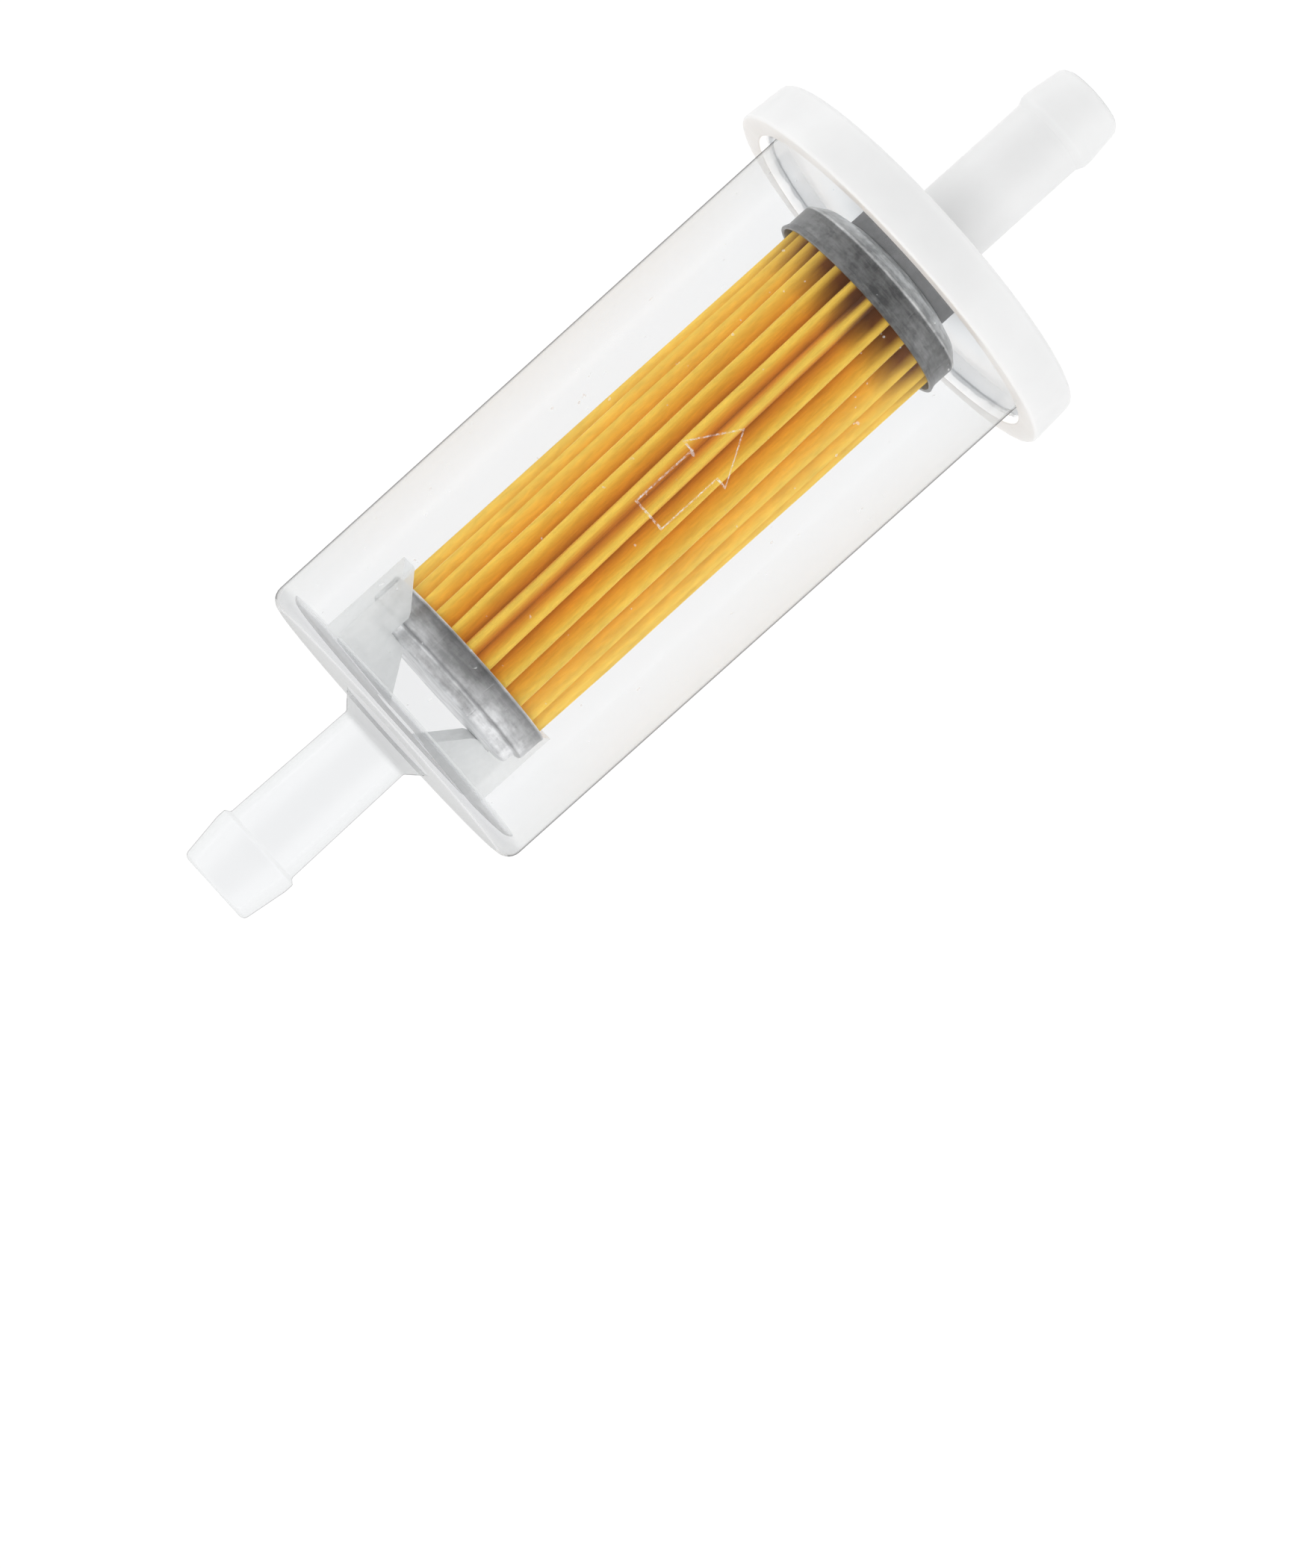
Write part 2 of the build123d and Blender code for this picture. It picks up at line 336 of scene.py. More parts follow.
def make_outlet_cap():
    """Thick round flange with the rim's socket, the seal's pocket and spigot, and the outlet nipple."""
    flange_end = FLANGE_FACE + 5.05
    pocket_radius = 6.33
    pocket_floor = mouth + 0.5
    neck_radius = 4.01
    barb_radius = 4.37
    tip_radius = 3.84
    return lathe("white_outlet_cap", outline([
        (spigot_start, THROAT, 0),
        (spigot_start, SPIGOT_RADIUS, 0.3),
        (pocket_floor, SPIGOT_RADIUS, 0),
        (pocket_floor, pocket_radius, 0),
        (mouth, pocket_radius, 0.15),
        (mouth, socket_radius, 0),
        (FLANGE_FACE, socket_radius, 0.3),
        (FLANGE_FACE, FLANGE_RADIUS, 0.3),
        (flange_end, FLANGE_RADIUS - 0.35, 0.7),
        (flange_end, neck_radius, 0.3),
        (outlet_tip - 5.6, neck_radius, 0.5),
        (outlet_tip - 4.85, barb_radius, 0.5),
        (outlet_tip - 4.0, barb_radius, 1.2),
        (outlet_tip, tip_radius, 0.9),
        (outlet_tip, NIPPLE_BORE, 0.3),
        (flange_end, NIPPLE_BORE, 0),
        (flange_end, THROAT, 0),
    ]))


def make_weld_bead():
    """Uneven flash in the corner between the housing's rim and the cap's socket."""
    root = rim_start + 0.12
    front = rim_start - 0.35
    outer = socket_radius - 0.03
    profile = outline([
        (root, outer, 0),
        (front, outer, 0.1),
        (front, socket_radius - 0.55, 0.15),
        (root, socket_radius - 0.85, 0),
    ], run=0.2)

    def shape(station, radius, angle):
        place = Vector((math.sin(angle), math.cos(angle), 0))
        fine_place = place * 17.0 + Vector((station * 3, 3, 5))
        swell = noise.noise(place * 5.0) + 0.6 * noise.noise(fine_place)
        reach = 0.75 + 0.55 * swell
        x = root + (station - root) * clamp(reach, 0.25, 1.9)
        r = outer - (outer - radius) * clamp(reach, 0.3, 1.15)
        return x, r

    return lathe("weld_flash", profile, segments=420, shape=shape)


def make_seal():
    """Square rubber ring round the spigot, with a rounded edge."""
    return lathe("seal_ring", outline([
        (seal_low[0], SPIGOT_RADIUS, 0),
        (seal_low[0], seal_high[2], 0.28),
        (seal_high[0], seal_high[2], 0),
        (seal_high[0], SPIGOT_RADIUS, 0),
    ], run=1.0))


# ---------------------------------------------------------------- End caps of the element
METAL = 0.4


def dented(depth, along, around, shift=0):
    """Shape that pushes a thin wall in and out by up to depth. along and around are the dents' rates."""
    def shape(station, radius, angle):
        place = Vector((station * along, around * math.sin(angle), around * math.cos(angle) + shift))
        return station, radius + depth * noise.noise(place)

    return shape


def make_lower_cap():
    """Metal cup with a stepped bottom."""
    start = lower_low[0]
    end = lower_high[0]
    step = start + 1.35
    wide = lower_high[2]
    narrow = 9.3
    profile = outline([
        (start, 0, 0),
        (start, narrow, 0.45),
        (step - 0.1, narrow, 0.3),
        (step + 0.05, wide - 0.12, 0.35),
        (end - 0.5, wide - 0.1, 0.2),
        (end, wide, 0.12),
        (end, wide - METAL, 0.12),
        (step + METAL, wide - METAL - 0.1, 0.1),
        (step + METAL, narrow - METAL, 0),
        (start + METAL, narrow - METAL, 0),
        (start + METAL, 0, 0),
    ], run=0.8)
    return lathe("lower_end_cup", profile, shape=dented(0.03, along=0.5, around=4))


def make_upper_cap():
    """Metal cup with a flared lip, a rounded shoulder and a hole for the spigot."""
    start = upper_low[0]
    end = upper_high[0]
    shoulder = end - 1.7
    lip = upper_high[2]
    band = 10.1
    top = 6.7
    hole = 4.0
    profile = outline([
        (start, lip, 0.1),
        (start, lip - METAL, 0.1),
        (start + 0.7, band - METAL, 0.3),
        (shoulder - 0.05, band - METAL, 0.2),
        (end - 0.7 - METAL, 8.6, 0.6),
        (end - METAL, top, 0.4),
        (end - METAL, hole, 0),
        (end, hole, 0),
        (end, top, 0.6),
        (end - 0.65, 8.8, 1.0),
        (shoulder, band, 0.35),
        (start + 0.7, band, 0.4),
    ], run=0.8)
    return lathe("upper_end_cup", profile, shape=dented(0.04, along=0.4, around=3, shift=9))


# ---------------------------------------------------------------- Pleated paper
PLEATS = 24
POINTS_PER_PLEAT = 22
STATIONS = 110
RIDGE_RADIUS = paper_high[2] - 0.06
ROOT_RADIUS = 5.35
PAPER = 0.3
FIRST_RIDGE = math.radians(-62.8)
TWIST = math.radians(9)
BUNCH = math.radians(6)
BUNCH_CENTRE = math.radians(5)
BUNCH_REACH = 1.3
WANDER = math.radians(1.3)
SWAY = math.radians(0.35)
DROP = 0.22


def pleat_place(share, along, pleat_share):
    """Angle, from +Z towards -Y, and radius of the paper's middle line.

    share runs 0 to 1 round the element, along runs 0 to 1 towards the outlet, and pleat_share runs 0 to 1
    from one ridge to the next. The pleats twist a little, bunch together near +Z and wander.
    """
    angle = 2 * math.pi * share + FIRST_RIDGE
    lean = (angle + math.pi) % (2 * math.pi) - math.pi
    if abs(lean) < BUNCH_REACH:
        angle -= BUNCH * max(0.0, math.cos(1.35 * (lean - BUNCH_CENTRE)))
    angle -= TWIST * (along - 0.5)

    pleat = math.floor(share * PLEATS + 0.5)
    wander = noise.noise(Vector((along * 2.2, pleat * 3.7, 1.5)))
    sway = noise.noise(Vector((along * 6.0, pleat * 5.3, 7.5)))
    fall = abs(noise.noise(Vector((along * 1.5, pleat * 2.9, 4.5))))
    turn = math.cos(2 * math.pi * pleat_share)
    near_ridge = 0.5 + 0.5 * turn
    angle += (WANDER * wander + SWAY * sway) * near_ridge

    swing = 0.84
    wave = math.asin(swing * turn) / math.asin(swing)
    middle = (RIDGE_RADIUS + ROOT_RADIUS) / 2
    height = (RIDGE_RADIUS - ROOT_RADIUS) / 2 - PAPER / 2
    return angle, middle + height * wave - DROP * fall * near_ridge


def make_paper():
    """Ring of pleats: an outer and an inner skin, closed at both ends."""
    around = PLEATS * POINTS_PER_PLEAT
    vertices = []
    for row in range(STATIONS + 1):
        along = row / STATIONS
        station = paper_low[0] + (paper_high[0] - paper_low[0]) * along
        line = []
        for column in range(around):
            share = column / around
            pleat_share = (column % POINTS_PER_PLEAT) / POINTS_PER_PLEAT
            angle, radius = pleat_place(share, along, pleat_share)
            line.append(Vector((-radius * math.sin(angle), radius * math.cos(angle))))
        for side in (1, -1):
            for column in range(around):
                ahead = line[(column + 1) % around] - line[column - 1]
                normal = Vector((ahead.y, -ahead.x)).normalized() * side * PAPER / 2
                point = line[column] - normal
                vertices.append((station, point.x, point.y))
    faces = []
    layer = 2 * around
    for row in range(STATIONS):
        for side in (0, 1):
            base = row * layer + side * around
            for column in range(around):
                other = (column + 1) % around
                face = [base + column, base + other, base + layer + other, base + layer + column]
                faces.append(face if side else face[::-1])
    for row, flip in ((0, False), (STATIONS, True)):
        base = row * layer
        for column in range(around):
            other = (column + 1) % around
            face = [base + column, base + other, base + around + other, base + around + column]
            faces.append(face[::-1] if flip else face)
    return mesh_object("pleats", vertices, faces, sharp=math.radians(60))


# ---------------------------------------------------------------- Material helpers
def new_material(name):
    """New material, with its node tree and its shader."""
    material = bpy.data.materials.new(name)
    material.use_nodes = True
    tree = material.node_tree
    return material, tree, tree.nodes["Principled BSDF"]


def fill_inputs(tree, node, inputs):
    """Give a node its inputs: a value is set on the socket, and another node's socket is linked to it."""
    for key, value in inputs.items():
        if isinstance(value, bpy.types.NodeSocket):
            tree.links.new(value, node.inputs[key])
        else:
            node.inputs[key].default_value = value


def add(tree, kind, inputs=None, **settings):
    """New node with its settings and its inputs."""
    node = tree.nodes.new(kind)
    for key, value in settings.items():
        setattr(node, key, value)
    fill_inputs(tree, node, inputs or {})
    return node


def set_surface(tree, node):
    """Make a shader node the material's surface."""
    tree.links.new(node.outputs[0], tree.nodes["Material Output"].inputs["Surface"])


def grey(level):
    """Neutral colour."""
    return (level, level, level)


def object_place(tree):
    """The point on the piece, in metres in the frame."""
    return add(tree, "ShaderNodeTexCoord").outputs["Object"]


def axis_place(tree):
    """Station on the flow axis, offset from the axis and distance from it, in metres."""
    split = add(tree, "ShaderNodeSeparateXYZ", {"Vector": object_place(tree)})
    offset = add(tree, "ShaderNodeCombineXYZ", {"Y": split.outputs["Y"], "Z": split.outputs["Z"]}).outputs[0]
    length = add(tree, "ShaderNodeVectorMath", {0: offset}, operation="LENGTH")
    return split.outputs["X"], offset, length.outputs["Value"]


def noise_value(tree, scale, detail=3.0, roughness=0.5, stretch=(1, 1, 1)):
    """Noise whose scale is in features per metre. A stretch under 1 draws it out along that axis."""
    mapped = add(tree, "ShaderNodeMapping", {"Vector": object_place(tree), "Scale": stretch}).outputs[0]
    return add(tree, "ShaderNodeTexNoise", {
        "Vector": mapped, "Scale": scale, "Detail": detail, "Roughness": roughness}).outputs["Fac"]


def ramp(tree, value, stops):
    """Colour ramp from (position, colour) stops."""
    node = add(tree, "ShaderNodeValToRGB", {"Fac": value})
    elements = node.color_ramp.elements
    while len(elements) < len(stops):
        elements.new(0.5)
    for element, (position, colour) in zip(elements, stops):
        element.position = position
        element.color = (*colour, 1)
    return node.outputs["Color"]


def cloudy(tree, value, dark, light):
    """Colour that goes from dark to light over the middle of a noise's range."""
    return ramp(tree, value, [(0.3, dark), (0.7, light)])


def remap(tree, value, low, high, to_low=0.0, to_high=1.0):
    """Value scaled from one range to another, and clamped."""
    return add(tree, "ShaderNodeMapRange", {
        "Value": value, "From Min": low, "From Max": high, "To Min": to_low, "To Max": to_high}).outputs[0]


def vary(tree, value, low, high):
    """Number that goes from low to high over the middle of a noise's range."""
    return remap(tree, value, 0.3, 0.7, low, high)


def calc(tree, operation, *values):
    """Result of one sum."""
    return add(tree, "ShaderNodeMath", dict(enumerate(values)), operation=operation).outputs[0]


def product(tree, first, *others):
    """All the values multiplied together."""
    result = first
    for other in others:
        result = calc(tree, "MULTIPLY", result, other)
    return result


def highest(tree, first, *others):
    """The greatest of the values."""
    result = first
    for other in others:
        result = calc(tree, "MAXIMUM", result, other)
    return result


def inverse(tree, mask):
    """One minus a mask."""
    return calc(tree, "SUBTRACT", 1.0, mask)


def below(tree, value, limit):
    """Mask: 1 where a place in metres is under a limit in millimetres, otherwise 0."""
    return calc(tree, "LESS_THAN", value, limit * MM)


def above(tree, value, limit):
    """Mask: 1 where a place in metres is over a limit in millimetres, otherwise 0."""
    return calc(tree, "GREATER_THAN", value, limit * MM)


def between(tree, value, low, high):
    """Mask: 1 where a place in metres lies between two limits in millimetres, otherwise 0."""
    return calc(tree, "COMPARE", value, (low + high) / 2 * MM, (high - low) / 2 * MM)


def mix_colour(tree, factor, a, b, blend="MIX"):
    """Colour between two colours, each of them a socket or three numbers."""
    a, b = (value if isinstance(value, bpy.types.NodeSocket) else (*value, 1) for value in (a, b))
    node = add(tree, "ShaderNodeMix", {"Factor": factor, 6: a, 7: b}, data_type="RGBA", blend_type=blend)
    return node.outputs[2]


def bump(tree, shader, height, distance, strength):
    """Small relief of a surface. distance is in metres."""
    node = add(tree, "ShaderNodeBump", {"Height": height, "Distance": distance, "Strength": strength})
    tree.links.new(node.outputs["Normal"], shader.inputs["Normal"])


# ---------------------------------------------------------------- Materials
def clear_plastic(name):
    """Faintly milky clear plastic: see-through head on, greyer and whiter where it is seen on edge.

    A real wall bends light so much that its inner face seems to lie at its outer edge. Here light goes
    straight through, so the inner face is left unseen.
    """
    material, tree, shader = new_material(name)
    along, offset, distance = axis_place(tree)
    facing = add(tree, "ShaderNodeLayerWeight", {"Blend": 0.5}).outputs["Facing"]
    outward = add(tree, "ShaderNodeVectorMath", {0: offset}, operation="NORMALIZE").outputs[0]
    normal = add(tree, "ShaderNodeNewGeometry").outputs["Normal"]
    match = add(tree, "ShaderNodeVectorMath", {0: outward, 1: normal}, operation="DOT_PRODUCT")
    slope = inverse(tree, calc(tree, "ABSOLUTE", match.outputs["Value"]))

    # Unseen parts: the chamber's wall, the passage through the nipple and the rim inside the socket
    inner_radius = MEAN_RADIUS - WALL
    taper = 0.28
    chamber_wall = between(tree, distance, inner_radius - taper, inner_radius + taper)
    passage = below(tree, distance, NIPPLE_BORE + 0.2)
    rim = above(tree, along, rim_start - 0.1)
    unseen = highest(tree, chamber_wall, passage, rim)
    seen = inverse(tree, unseen)

    # Frost on the arrow's sloping edges, which are the only slopes on the skin away from its ends
    on_skin = above(tree, distance, CLOSED_RADIUS - 0.1)
    off_ends = between(tree, along, HOUSING_FLOOR + 3, rim_start - 3)
    sparkle = remap(tree, noise_value(tree, 3000, 3, 0.7), 0.44, 0.66, 0.03, 0.85)
    arrow_frost = product(tree, on_skin, off_ends, remap(tree, slope, 0.03, 0.12), sparkle)

    # Frost on the fins, which are all that stands inside the chamber
    inside = below(tree, distance, CLOSED_RADIUS - WALL - 0.15)
    past_floor = above(tree, along, HOUSING_FLOOR + 0.2)
    fin_frost = product(tree, inside, past_floor, inverse(tree, passage),
                        vary(tree, noise_value(tree, 500, 3), 0.50, 0.66))

    # Tint: darker on edge, where the path through the plastic is longer. The greys in the closed end's plate
    # and cone are partly the thick milky plastic and partly painted shade. The dark line round the silhouette
    # is painted shade that stands for the wall's refraction at its edge.
    edge = ramp(tree, facing, [
        (0.0, (0.945, 0.950, 0.955)),
        (0.5, (0.94, 0.945, 0.95)),
        (0.80, (0.93, 0.935, 0.94)),
        (0.93, grey(0.84)),
        (1.0, grey(0.62)),
    ])
    plate_shade = ramp(tree, remap(tree, along, (HOUSING_FACE - 2) * MM, (HOUSING_FLOOR + 2) * MM), [
        (0.0, grey(1.0)),
        (0.10, grey(0.84)),
        (0.30, grey(0.86)),
        (0.37, grey(0.92)),
        (0.44, (0.875, 0.875, 0.88)),
        (0.60, (0.86, 0.86, 0.865)),
        (0.70, grey(1.0)),
    ])
    # Painted shade: a dark line along the silhouette of round surfaces.
    on_round = calc(tree, "LESS_THAN", slope, 0.3)
    silhouette_shade = product(tree, remap(tree, facing, 0.84, 0.97), on_round)
    tint = mix_colour(tree, 1.0, edge, plate_shade, "MULTIPLY")
    tint = mix_colour(tree, silhouette_shade, tint, grey(0.22))
    tint = mix_colour(tree, unseen, tint, grey(1.0))
    clear = add(tree, "ShaderNodeBsdfTransparent", {"Color": tint})

    # Milky layer: a haze on edge, small specks and the frost
    fill_inputs(tree, shader, {
        "Base Color": cloudy(tree, noise_value(tree, 300, 3), (0.86, 0.87, 0.86), (0.92, 0.93, 0.92)),
        "Roughness": 0.35,
    })
    haze = product(tree, remap(tree, facing, 0.30, 1.0, 0.004, 0.35), seen, inverse(tree, silhouette_shade))
    specks = product(tree, remap(tree, noise_value(tree, 1500, 1), 0.765, 0.81, 0.0, 0.35), on_skin)
    milk = highest(tree, haze, specks, arrow_frost, fin_frost)
    milky = add(tree, "ShaderNodeMixShader", {0: milk, 1: clear.outputs[0], 2: shader.outputs[0]})

    # Gloss over it all, stronger at grazing angles
    least_shine = 0.04
    grazing_shine = 0.10
    grazing = calc(tree, "POWER", facing, 5.0)
    shine = calc(tree, "ADD", product(tree, grazing, grazing_shine), least_shine)
    gloss = add(tree, "ShaderNodeBsdfAnisotropic", {
        "Roughness": vary(tree, noise_value(tree, 300, 2), 0.20, 0.26)})
    set_surface(tree, add(tree, "ShaderNodeMixShader", {
        0: product(tree, shine, seen), 1: milky.outputs[0], 2: gloss.outputs[0]}))
    return material


def flash_plastic(name):
    """Flash squeezed out of the weld: clear, with rough greyish patches."""
    material, tree, shader = new_material(name)
    grain = noise_value(tree, 900, 4)
    fill_inputs(tree, shader, {
        "Base Color": cloudy(tree, grain, grey(0.40), grey(0.88)),
        "Roughness": vary(tree, grain, 0.3, 0.6),
    })
    clear = add(tree, "ShaderNodeBsdfTransparent", {"Color": (*grey(0.99), 1)})
    patches = remap(tree, noise_value(tree, 350, 3), 0.62, 0.78, 0.0, 0.5)
    set_surface(tree, add(tree, "ShaderNodeMixShader", {
        0: patches, 1: clear.outputs[0], 2: shader.outputs[0]}))
    return material


def white_nylon(name):
    """Natural nylon: milky and satin. It glows faintly all over, and more in the socket and on its lip. This
    glow is painted light that stands for light coming through the nylon and the flange.
    """
    material, tree, shader = new_material(name)
    along, _, distance = axis_place(tree)
    in_socket = product(tree, below(tree, distance, socket_radius + 0.1), below(tree, along, mouth + 0.6))
    on_lip = product(tree, above(tree, distance, socket_radius - 0.1), below(tree, along, rim_start + 0.1))
    socket_glow = mix_colour(tree, on_lip, (0.27, 0.28, 0.29), (0.50, 0.51, 0.52))
    fill_inputs(tree, shader, {
        "Base Color": cloudy(tree, noise_value(tree, 160, 4), (0.765, 0.767, 0.767), (0.80, 0.802, 0.802)),
        "Roughness": vary(tree, noise_value(tree, 700, 3), 0.30, 0.42),
        "IOR": 1.5,
        "Subsurface Weight": 0.5,
        "Subsurface Radius": grey(1.0),
        "Subsurface Scale": 1.5 * MM,
        # Painted light: a faint glow everywhere, and a stronger glow in the socket and on its lip.
        "Emission Color": mix_colour(tree, in_socket, grey(0.03), socket_glow),
        "Emission Strength": 1.0,
    })
    bump(tree, shader, noise_value(tree, 1500, 3), 0.02 * MM, 0.25)
    return material


def filter_paper(name):
    """Resin-treated yellow paper with fibres. Painted light and shade make it lightest on the ridges and
    darker, orange-brown, down in the valleys. The valleys turn dark brown next to the upper end cap.
    """
    material, tree, shader = new_material(name)
    along, _, distance = axis_place(tree)
    # Painted light and shade: the paper's own yellow is lightest at the ridges and darkens to orange-brown
    # towards the valley floors, where shade falls.
    body = ramp(tree, remap(tree, distance, ROOT_RADIUS * MM, RIDGE_RADIUS * MM), [
        (0.0, (0.42, 0.155, 0.010)),
        (0.30, (0.57, 0.25, 0.020)),
        (0.60, (0.68, 0.355, 0.034)),
        (0.80, (0.71, 0.42, 0.050)),
        (0.95, (0.74, 0.49, 0.074)),
    ])
    fibre = noise_value(tree, 2600, 4, 0.6, (0.22, 1, 1))
    cloud = noise_value(tree, 350, 3, 0.5, (0.4, 1, 1))
    grain = calc(tree, "ADD", remap(tree, fibre, 0.25, 0.75, -0.12, 0.12), vary(tree, cloud, -0.06, 0.06))
    level = calc(tree, "ADD", grain, 1.0)
    paper = add(tree, "ShaderNodeVectorMath", {0: body, "Scale": level}, operation="SCALE")

    # Dark brown in the valleys next to the upper end cap. It fades out over a few millimetres along the
    # element and has an uneven edge.
    cap_end_dark_unevenness = 4 * MM
    cap_end_dark_noise = noise_value(tree, 420, 3, 0.6, (0.25, 1, 1))
    cap_end_dark_place = calc(tree, "ADD", along, product(tree, cap_end_dark_noise, cap_end_dark_unevenness))
    cap_end_dark = remap(tree, cap_end_dark_place, (upper_low[0] - 2.6) * MM, (upper_low[0] + 1.4) * MM)
    in_valley = remap(tree, distance, (RIDGE_RADIUS + 0.1) * MM, (RIDGE_RADIUS - 1.1) * MM)
    colour = mix_colour(tree, product(tree, cap_end_dark, in_valley), paper.outputs[0], (0.16, 0.055, 0.012))
    # The paper also glows faintly in its own colour. This is painted light that stands for light coming
    # through the thin paper and bouncing round the pleats.
    fill_inputs(tree, shader, {
        "Base Color": colour,
        "Emission Color": colour,
        "Emission Strength": 0.27,
        "Roughness": 0.75,
        "Specular IOR Level": 0.25,
        "Sheen Weight": 0.08,
    })
    bump(tree, shader, fibre, 0.06 * MM, 0.6)
    return material


def rolled_metal(name, dark, light, rough, scratch_depth, span, light_and_shade_bands):
    """Pressed sheet metal with a mottled finish, rolling marks round it and short scratches.

    Its last argument lists (position, level) stops of painted highlight and shade along the span between two
    stations: dark bands where the levels drop, and bright lines where they rise back to 1.
    """
    material, tree, shader = new_material(name)
    along = axis_place(tree)[0]
    blotch = noise_value(tree, 420, 6, 0.7)
    marks = noise_value(tree, 3000, 3, 0.6, (1, 0.12, 0.12))
    mottle = calc(tree, "ADD", product(tree, blotch, 0.7), product(tree, marks, 0.3))
    tone = ramp(tree, mottle, [(0.42, dark), (0.58, light)])
    span_share = remap(tree, along, span[0] * MM, span[1] * MM)
    # Painted highlight and shade: bands that darken the metal along the span.
    level = ramp(tree, span_share, [(position, grey(stop)) for position, stop in light_and_shade_bands])
    fill_inputs(tree, shader, {
        "Metallic": 0.55,
        "Base Color": mix_colour(tree, 1.0, tone, level, "MULTIPLY"),
        "Roughness": vary(tree, blotch, *rough),
    })
    scratches = remap(tree, noise_value(tree, 1800, 2, 0.5, (0.15, 1, 1)), 0.60, 0.66)
    bump(tree, shader, calc(tree, "SUBTRACT", marks, scratches), scratch_depth * MM, 0.5)
    return material


def bond(name):
    """Set brown bonding compound, glossy in places."""
    material, tree, shader = new_material(name)
    cloud = noise_value(tree, 700, 4)
    fill_inputs(tree, shader, {
        "Base Color": cloudy(tree, cloud, (0.03, 0.012, 0.005), (0.09, 0.04, 0.015)),
        "Roughness": vary(tree, cloud, 0.25, 0.5),
    })
    bump(tree, shader, cloud, 0.1 * MM, 0.6)
    return material


def seal_rubber(name):
    """Matt dark grey rubber with a faint bloom."""
    material, tree, shader = new_material(name)
    cloud = noise_value(tree, 1100, 4)
    fill_inputs(tree, shader, {
        "Base Color": cloudy(tree, cloud, (0.19, 0.19, 0.192), (0.26, 0.26, 0.262)),
        "Roughness": vary(tree, cloud, 0.55, 0.75),
    })
    bump(tree, shader, noise_value(tree, 5000, 2), 0.02 * MM, 0.4)
    return material


# ---------------------------------------------------------------- The object
# Painted highlight and shade on the end cups. The lower cup gets a bright step, a dark line after it, a dark
# band next to the paper and a bright rim. The upper cup gets a dark band, a bright line where the shoulder
# starts and a lighter shoulder.
tinplate = rolled_metal(
    "bright_tinplate", dark=(0.62, 0.62, 0.625), light=(0.96, 0.96, 0.965),
    rough=(0.26, 0.40), scratch_depth=0.02, span=(lower_low[0], lower_high[0]),
    light_and_shade_bands=[(0.0, 0.98), (0.27, 1.0), (0.33, 0.45), (0.38, 0.90), (0.60, 0.62), (0.93, 0.26), (1.0, 0.9)])
dull_steel = rolled_metal(
    "dull_steel", dark=(0.42, 0.425, 0.425), light=(0.86, 0.865, 0.865),
    rough=(0.26, 0.45), scratch_depth=0.03, span=(upper_low[0], upper_high[0]),
    light_and_shade_bands=[(0.0, 0.30), (0.58, 0.25), (0.615, 1.0), (0.66, 0.55), (0.80, 0.75), (1.0, 1.0)])
compound = bond("bonding_compound")

# Each piece, with its material, its slot and the CAD node that it replaces
pieces = [
    (make_housing(), clear_plastic("clear_plastic"), "clear_housing", "housing_body"),
    (make_outlet_cap(), white_nylon("white_nylon"), "white_nylon", "outlet_cap"),
    (make_weld_bead(), flash_plastic("weld_flash"), "clear_housing", "weld_bead"),
    (make_seal(), seal_rubber("seal_rubber"), "seal_rubber", "outlet_seal"),
    (make_lower_cap(), tinplate, "bright_tinplate", "lower_end_cap"),
    (make_upper_cap(), dull_steel, "dull_steel", "upper_end_cap"),
    (make_paper(), filter_paper("filter_paper"), "filter_paper", "pleated_paper"),
]
for piece, material, slot, node in pieces:
    piece.data.materials.clear()
    piece.data.materials.append(material)
    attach(piece, ROOT)
    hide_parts(node)

# The CAD nodes that keep their shape, with their materials
kept_nodes = {
    "lower_potting": compound,
    "upper_potting": compound,
    "core_tube": tinplate,
    "seam_clip": tinplate,
}
for node, material in kept_nodes.items():
    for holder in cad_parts[node].material_slots:
        holder.material = material


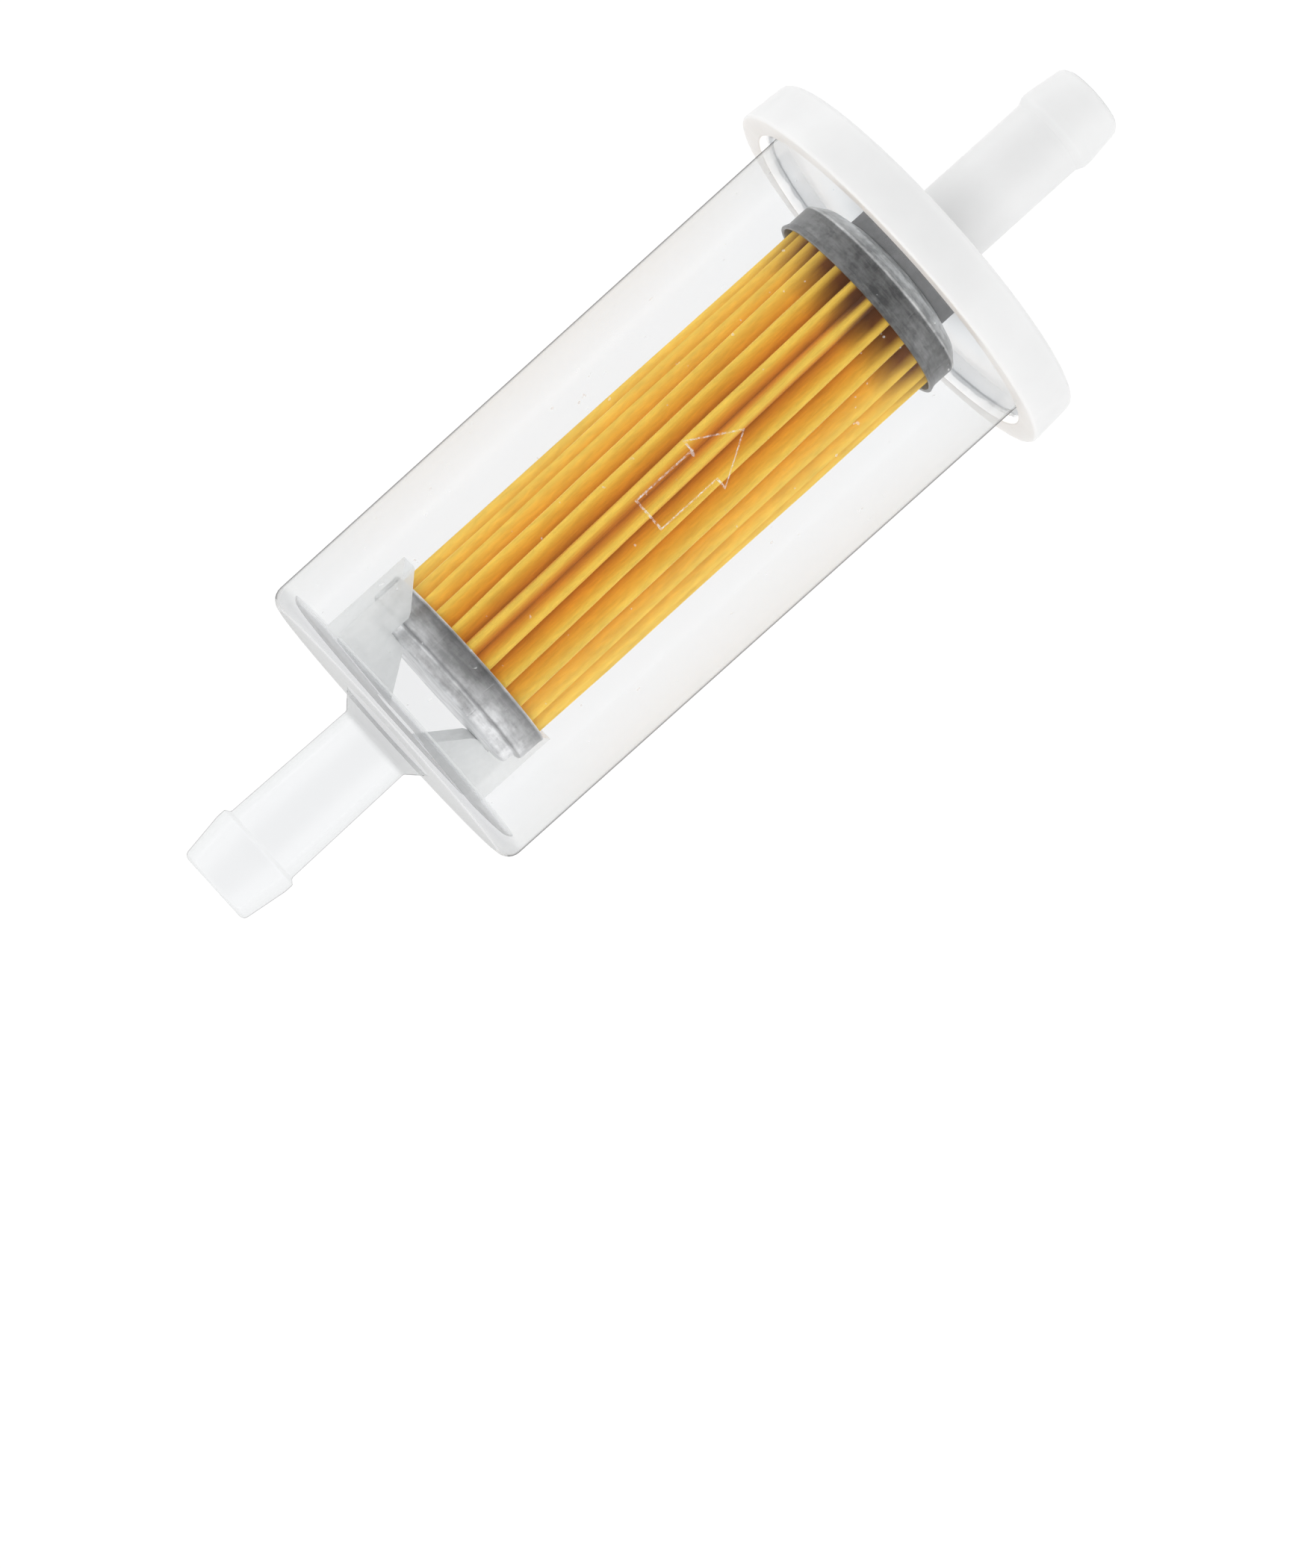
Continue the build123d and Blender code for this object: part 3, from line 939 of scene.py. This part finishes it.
# ---------------------------------------------------------------- Floor, light and camera
def make_floor():
    """White table that glows, like a light table."""
    side = 4.0
    gap = 0.1 * MM
    level = cad_box[0][2] - gap
    corners = [(-side, -side, level), (side, -side, level), (side, side, level), (-side, side, level)]
    mesh = bpy.data.meshes.new("floor")
    mesh.from_pydata(corners, [], [(0, 1, 2, 3)])
    floor = add_object("floor", mesh)
    material, tree, shader = new_material("floor_white")
    fill_inputs(tree, shader, {
        "Base Color": (*grey(0.12), 1),
        "Roughness": 1.0,
        "Specular IOR Level": 0.0,
        "Emission Color": (*grey(1.0), 1),
        "Emission Strength": 0.93,
    })
    mesh.materials.append(material)


def make_world():
    """Even white room with a dimmer ceiling."""
    world = bpy.data.worlds.new("studio")
    bpy.context.scene.world = world
    world.use_nodes = True
    tree = world.node_tree
    direction = add(tree, "ShaderNodeTexCoord").outputs["Generated"]
    height = add(tree, "ShaderNodeSeparateXYZ", {"Vector": direction}).outputs["Z"]
    sky = ramp(tree, height, [(0.0, grey(1.0)), (0.35, grey(1.0)), (0.7, grey(0.55)), (0.93, grey(0.12))])
    fill_inputs(tree, tree.nodes["Background"], {"Color": sky, "Strength": 1.0})


def soft_light(name, place, size, power):
    """Rectangular studio light that faces the object. It doesn't show in the picture itself."""
    data = bpy.data.lights.new(name, "AREA")
    data.shape = "RECTANGLE"
    data.size, data.size_y = size
    data.energy = power
    light = add_object(name, data)
    light.location = place
    light.rotation_euler = Vector(place).to_track_quat("Z", "Y").to_euler()
    light.visible_camera = False
    return light


def make_camera():
    """Camera above the filter, on the inlet side, with the outlet up and to the right in the picture."""
    place = Vector((-55.1, 1.6, 551.5)) * MM
    aim = Vector((-18.4, -20.1, 0.0)) * MM
    roll = math.radians(42.1)
    back = (place - aim).normalized()
    right = Vector((math.sin(roll), math.cos(roll), 0)).cross(back).normalized()
    up = back.cross(right)
    data = bpy.data.cameras.new("camera")
    data.sensor_fit = "VERTICAL"
    data.sensor_height = 36
    data.lens = 137
    data.clip_start = 0.01
    camera = add_object("camera", data)
    turn = Matrix((right, up, back)).transposed().to_4x4()
    camera.matrix_world = Matrix.Translation(place) @ turn
    bpy.context.scene.camera = camera


make_floor()
make_world()
soft_light("side_softbox", (0.05, -0.9, 0.45), (1.2, 0.7), 1.0)
soft_light("strip", (0.0, 0.14, -0.017), (0.4, 0.02), 0.05)
fill = soft_light("overhead_fill", (-0.15, 0.0, 0.9), (0.5, 0.5), 4.4)
fill.visible_glossy = False  # It would leave streaks on the clear plastic
make_camera()
bpy.context.scene.view_settings.view_transform = "Standard"
